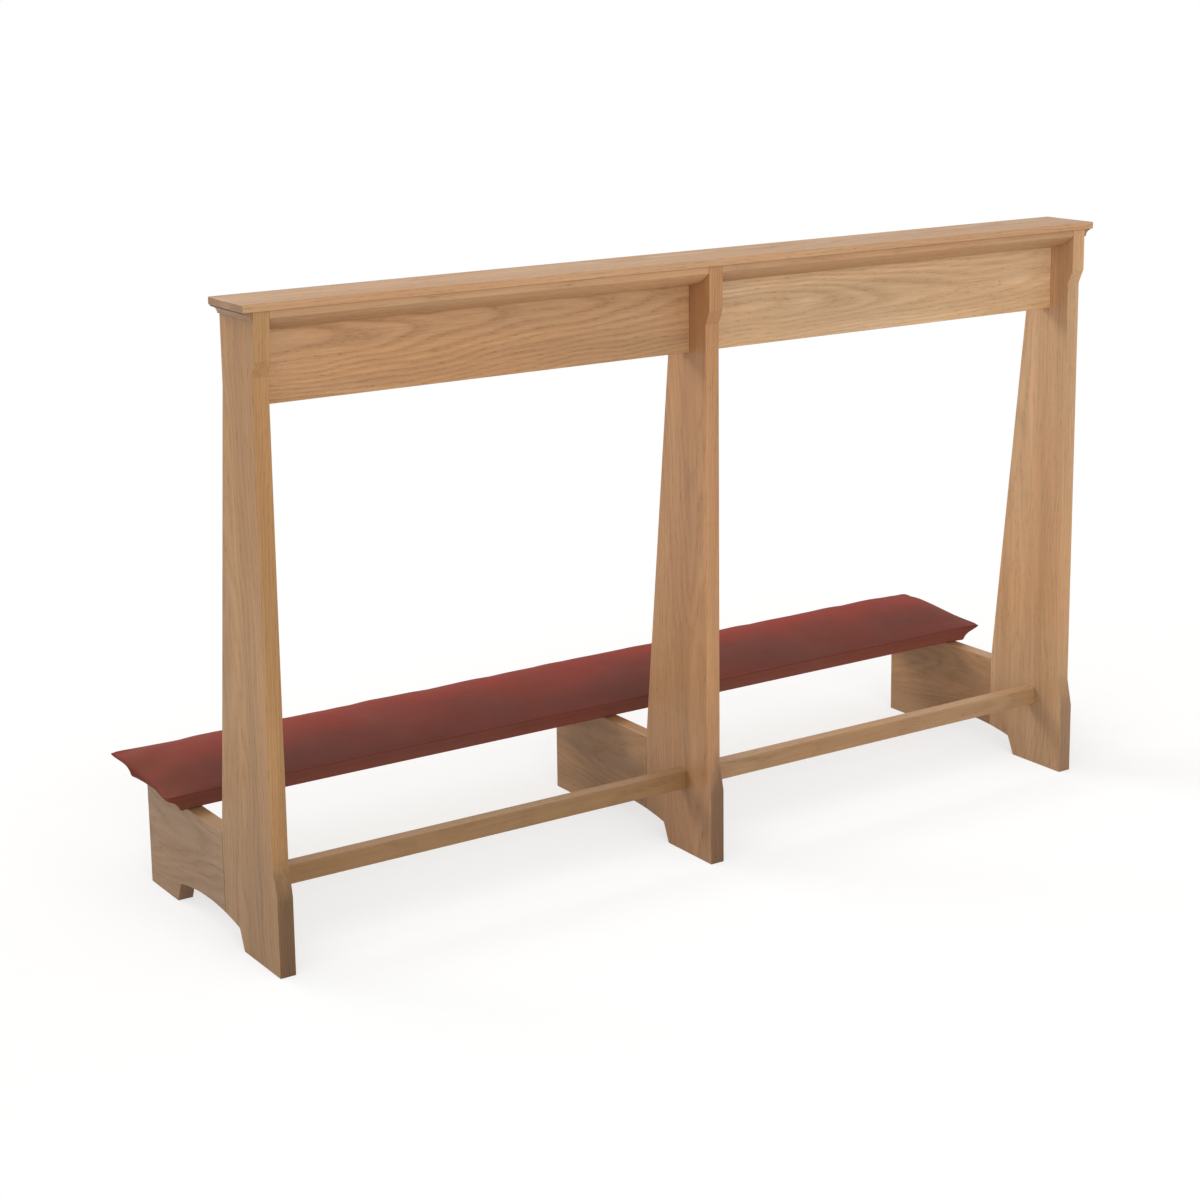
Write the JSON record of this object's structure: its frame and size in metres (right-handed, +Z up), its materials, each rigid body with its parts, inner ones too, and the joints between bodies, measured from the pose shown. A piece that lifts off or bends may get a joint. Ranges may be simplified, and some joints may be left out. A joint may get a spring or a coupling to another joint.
{
  "type": "church kneeling desk",
  "caption": "Church prayer desk with open timber frames, a moulded cap rail over apron boards and a long padded kneeler.",
  "frame": {"origin": "on the floor under the middle of the object's box", "axes": "+X along the row of bays, -Y the front side of the frames with the cap and aprons, +Y the side where the user kneels, +Z up"},
  "size_m": [1.428, 0.439, 0.85],
  "materials": {
    "frame_wood": "satin varnished oak, mid brown",
    "foot_wood": "satin varnished oak, slightly greyer",
    "cap_wood": "satin varnished oak, worn pale on top",
    "apron_wood": "satin varnished oak, lighter, broad grain",
    "dowel_wood": "bare beech",
    "base_board": "bare plywood",
    "foam": "open upholstery foam",
    "cover_fabric": "maroon woven cover with a short nap",
    "screw_steel": "zinc plated"
  },
  "bodies": {
    "root": {"left_upright": "frame_wood", "middle_upright": "frame_wood", "right_upright": "frame_wood", "left_foot_block": "foot_wood", "middle_foot_block": "foot_wood", "right_foot_block": "foot_wood", "left_frame_dowels": "dowel_wood", "middle_frame_dowels": "dowel_wood", "right_frame_dowels": "dowel_wood", "cap_rail": "cap_wood", "cap_dowels": "dowel_wood", "left_apron": "apron_wood", "right_apron": "apron_wood", "left_bed_mould": "cap_wood", "right_bed_mould": "cap_wood", "left_end_mould": "cap_wood", "right_end_mould": "cap_wood", "left_stretcher": "frame_wood", "right_stretcher": "frame_wood", "kneeler_base_board": "base_board", "kneeler_foam": "foam", "kneeler_cover": "cover_fabric", "kneeler_screws": "screw_steel"}
  },
  "joints": []
}
